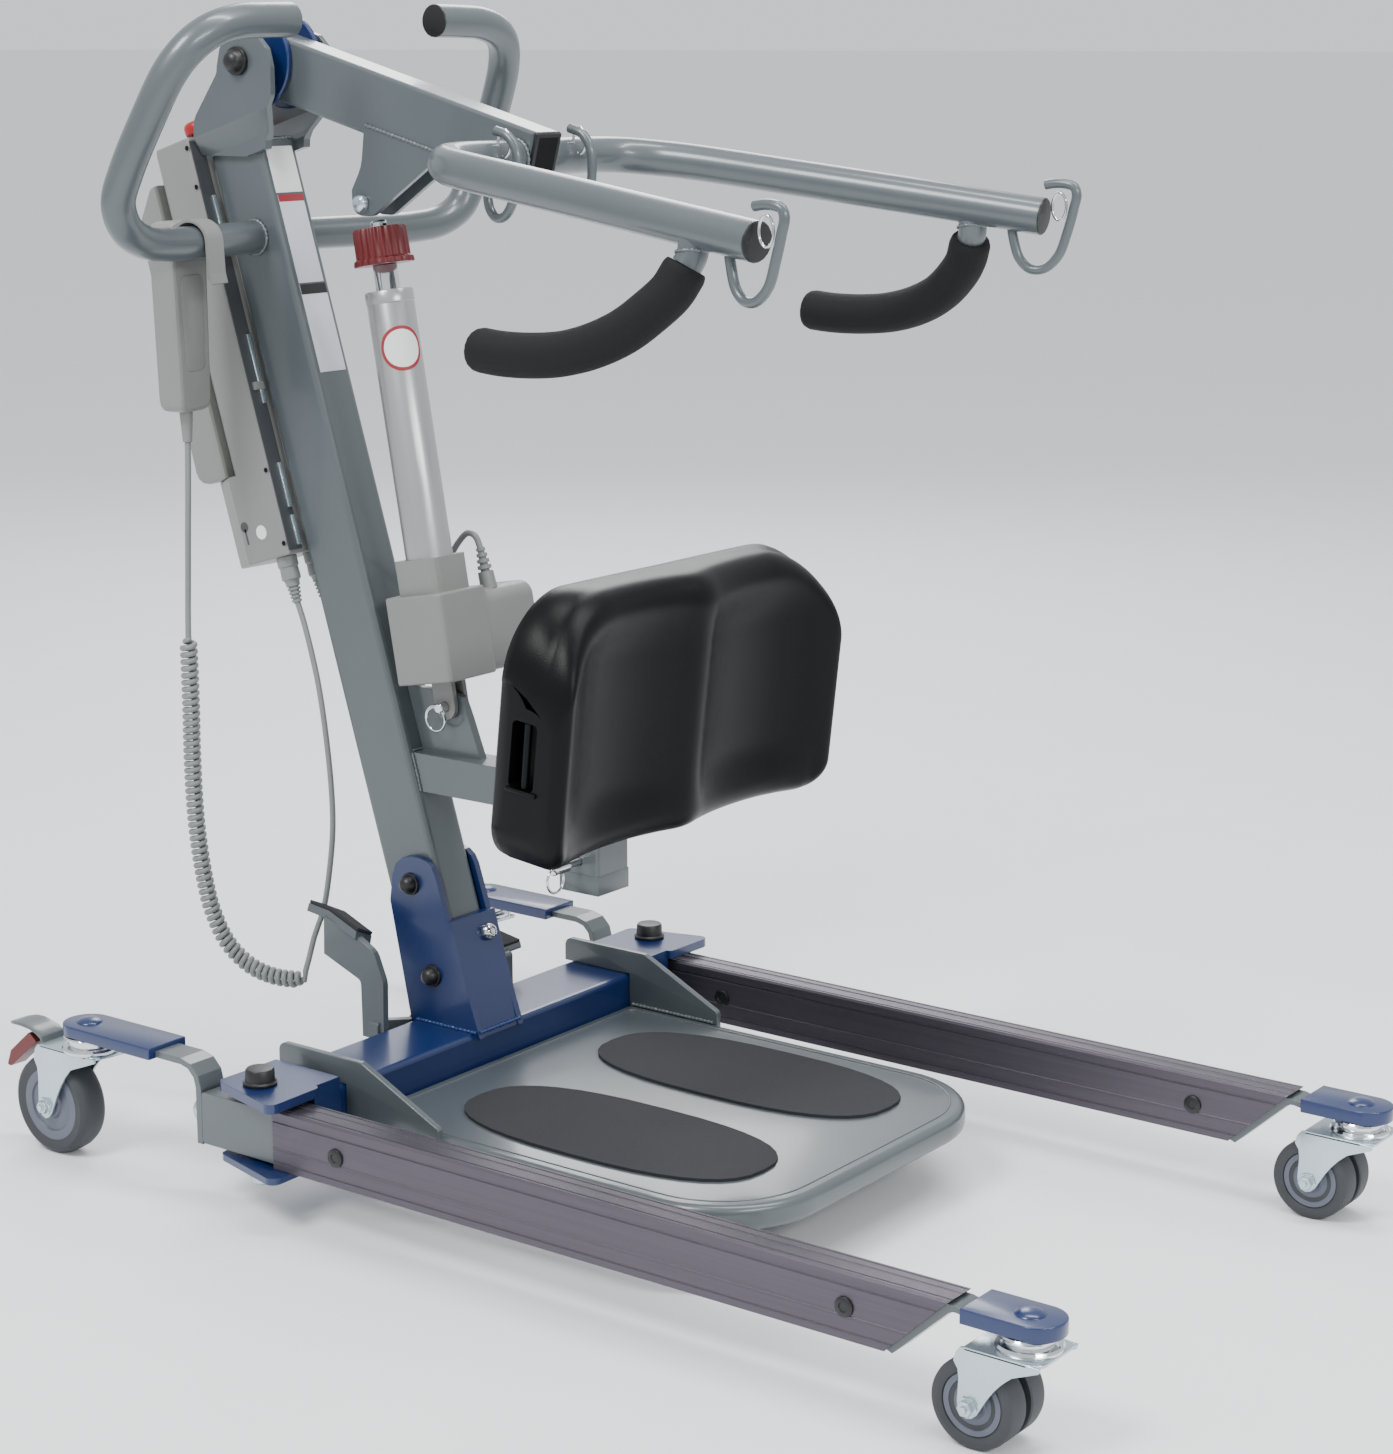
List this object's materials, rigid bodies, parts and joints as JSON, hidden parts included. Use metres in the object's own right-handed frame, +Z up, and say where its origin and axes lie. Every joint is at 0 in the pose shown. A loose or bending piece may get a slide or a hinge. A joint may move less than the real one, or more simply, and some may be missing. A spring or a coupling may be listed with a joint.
{
  "type": "sit to stand lift",
  "caption": "Wheeled patient lift with spreading legs, footplate, leaning mast, powered boom with gripped sling arms, moulded knee pad, control box and hanging handset.",
  "frame": {"origin": "on the floor under the middle of the machine's length and width", "axes": "+Z up; the legs point to -Y, the patient's side; +X is the operator's left"},
  "size_m": [0.6608, 1.2382, 1.0946],
  "materials": {
    "grey_paint": "glossy grey powder coat",
    "blue_paint": "glossy blue powder coat",
    "black_plastic": "black moulded plastic",
    "rubber_pad": "fine-grained black mat",
    "pad_skin": "soft black moulded foam skin",
    "light_plastic": "light grey plastic",
    "leg_aluminium": "satin extruded aluminium",
    "tube_aluminium": "silver anodised tube",
    "zinc": "bright zinc plate",
    "chrome": "chrome",
    "red_plastic": "red plastic",
    "wheel_tyre": "dark grey rubber tread",
    "foam_grip": "black foam",
    "cable": "grey cable sheath"
  },
  "bodies": {
    "frame": {"base_frame": "blue_paint", "footplate": "grey_paint", "mast": "grey_paint", "boom_pivot_bolt": "black_plastic", "knee_bar": "grey_paint", "actuator_foot_pin": "chrome", "control_box": "light_plastic", "battery_pack": "light_plastic", "handset": "light_plastic", "handset_plug": "cable", "actuator_plug": "cable", "handset_cord_upper": "cable", "handset_cord_coil": "cable", "handset_cord_lower": "cable", "actuator_lead": "cable", "foot_pad_right": "rubber_pad", "leg_bolt_right": "black_plastic", "push_handle_right": "grey_paint", "foot_pad_left": "rubber_pad", "leg_bolt_left": "black_plastic", "push_handle_left": "grey_paint"},
    "boom": {"boom": "grey_paint", "boom_end_cap": "black_plastic", "pivot_hub": "blue_paint", "actuator_rod_pin": "zinc", "arm_right": "grey_paint", "grip_right": "foam_grip", "arm_left": "grey_paint", "grip_left": "foam_grip"},
    "actuator": {"actuator_housing": "light_plastic", "actuator_tube": "tube_aluminium"},
    "rod": {"actuator_rod": "chrome"},
    "knob": {"release_knob": "red_plastic"},
    "knee": {"knee_post": "grey_paint", "knee_pad": "pad_skin"},
    "knee_pin": {"knee_height_pin": "chrome"},
    "pedal": {"spreader_pedal": "grey_paint"},
    "stop": {"emergency_stop": "red_plastic"},
    "button_up": {"handset_button_up": "black_plastic"},
    "button_down": {"handset_button_down": "black_plastic"},
    "leg_right": {"leg_tube_right": "grey_paint", "leg_cover_right": "leg_aluminium", "rear_arm_right": "grey_paint", "rear_sleeve_right": "blue_paint", "front_pad_right": "blue_paint"},
    "front_caster_right": {"front_fork_right": "zinc"},
    "front_roller_right": {"front_wheel_right": "wheel_tyre"},
    "rear_caster_right": {"rear_fork_right": "zinc"},
    "rear_roller_right": {"rear_wheel_right": "wheel_tyre"},
    "brake_right": {"brake_pedal_right": "red_plastic"},
    "leg_left": {"leg_tube_left": "grey_paint", "leg_cover_left": "leg_aluminium", "rear_arm_left": "grey_paint", "rear_sleeve_left": "blue_paint", "front_pad_left": "blue_paint"},
    "front_caster_left": {"front_fork_left": "zinc"},
    "front_roller_left": {"front_wheel_left": "wheel_tyre"},
    "rear_caster_left": {"rear_fork_left": "zinc"},
    "rear_roller_left": {"rear_wheel_left": "wheel_tyre"},
    "brake_left": {"brake_pedal_left": "red_plastic"}
  },
  "joints": [
    {"name": "boom_lift", "type": "hinge", "parent": "frame", "child": "boom", "pos_m": [0, 0.4649, 1.041], "axis": [-1, 0, 0], "range_deg": [0, 45]},
    {"name": "actuator_tilt", "type": "hinge", "parent": "frame", "child": "actuator", "pos_m": [0, 0.2459, 0.428], "axis": [-1, 0, 0], "range_deg": [-8.5, 0.5]},
    {"name": "rod_slide", "type": "slide", "parent": "actuator", "child": "rod", "axis": [0, 0.176, 0.9844], "range_m": [0, 0.1205]},
    {"name": "knob_turn", "type": "hinge", "parent": "rod", "child": "knob", "pos_m": [0, 0.3319, 0.909], "axis": [0, 0.176, 0.9844], "range_deg": [-90, 90]},
    {"name": "knee_height", "type": "slide", "parent": "frame", "child": "knee", "axis": [0, 0, 1], "range_m": [-0.05, 0.04]},
    {"name": "knee_pin_pull", "type": "slide", "parent": "frame", "child": "knee_pin", "axis": [-1, 0, 0], "range_m": [0, 0.008], "stiffness_N_per_m": 1500},
    {"name": "right_leg_spread", "type": "hinge", "parent": "frame", "child": "leg_right", "pos_m": [-0.293, 0.2299, 0.085], "axis": [0, 0, -1], "range_deg": [0, 12]},
    {"name": "left_leg_spread", "type": "hinge", "parent": "frame", "child": "leg_left", "pos_m": [0.293, 0.2299, 0.085], "axis": [0, 0, 1], "range_deg": [0, 12]},
    {"name": "pedal_rock", "type": "hinge", "parent": "frame", "child": "pedal", "pos_m": [0, 0.2899, 0.085], "axis": [0, -1, 0], "range_deg": [0, 28.8]},
    {"name": "stop_press", "type": "slide", "parent": "frame", "child": "stop", "axis": [0, -0.2913, -0.9566], "range_m": [0, 0.003]},
    {"name": "button_up_press", "type": "slide", "parent": "frame", "child": "button_up", "axis": [0.1924, -0.9812, 0.0175], "range_m": [0, 0.001], "stiffness_N_per_m": 1000},
    {"name": "button_down_press", "type": "slide", "parent": "frame", "child": "button_down", "axis": [0.1924, -0.9812, 0.0175], "range_m": [0, 0.001], "stiffness_N_per_m": 1000},
    {"name": "right_front_swivel", "type": "hinge", "parent": "leg_right", "child": "front_caster_right", "pos_m": [-0.295, -0.5891, 0.09], "axis": [0, 0, 1], "continuous": true},
    {"name": "right_front_roll", "type": "hinge", "parent": "front_caster_right", "child": "front_roller_right", "pos_m": [-0.295, -0.5531, 0.0375], "axis": [1, 0, 0], "continuous": true},
    {"name": "right_rear_swivel", "type": "hinge", "parent": "leg_right", "child": "rear_caster_right", "pos_m": [-0.292, 0.4589, 0.115], "axis": [0, 0, 1], "continuous": true},
    {"name": "right_rear_roll", "type": "hinge", "parent": "rear_caster_right", "child": "rear_roller_right", "pos_m": [-0.292, 0.5049, 0.05], "axis": [1, 0, 0], "continuous": true},
    {"name": "right_brake", "type": "hinge", "parent": "rear_caster_right", "child": "brake_right", "pos_m": [-0.292, 0.5169, 0.108], "axis": [-1, 0, 0], "range_deg": [0, 10]},
    {"name": "left_front_swivel", "type": "hinge", "parent": "leg_left", "child": "front_caster_left", "pos_m": [0.295, -0.5891, 0.09], "axis": [0, 0, 1], "continuous": true},
    {"name": "left_front_roll", "type": "hinge", "parent": "front_caster_left", "child": "front_roller_left", "pos_m": [0.295, -0.5531, 0.0375], "axis": [1, 0, 0], "continuous": true},
    {"name": "left_rear_swivel", "type": "hinge", "parent": "leg_left", "child": "rear_caster_left", "pos_m": [0.292, 0.4589, 0.115], "axis": [0, 0, 1], "continuous": true},
    {"name": "left_rear_roll", "type": "hinge", "parent": "rear_caster_left", "child": "rear_roller_left", "pos_m": [0.292, 0.5049, 0.05], "axis": [1, 0, 0], "continuous": true},
    {"name": "left_brake", "type": "hinge", "parent": "rear_caster_left", "child": "brake_left", "pos_m": [0.292, 0.5169, 0.108], "axis": [-1, 0, 0], "range_deg": [0, 10]}
  ],
  "couplings": [
    {"joint": "actuator_tilt", "follows": "boom_lift", "ratio": -0.1833},
    {"joint": "rod_slide", "follows": "boom_lift", "m_per_rad": 0.1525},
    {"joint": "left_leg_spread", "follows": "right_leg_spread", "ratio": 1},
    {"joint": "pedal_rock", "follows": "right_leg_spread", "ratio": 2.4}
  ]
}
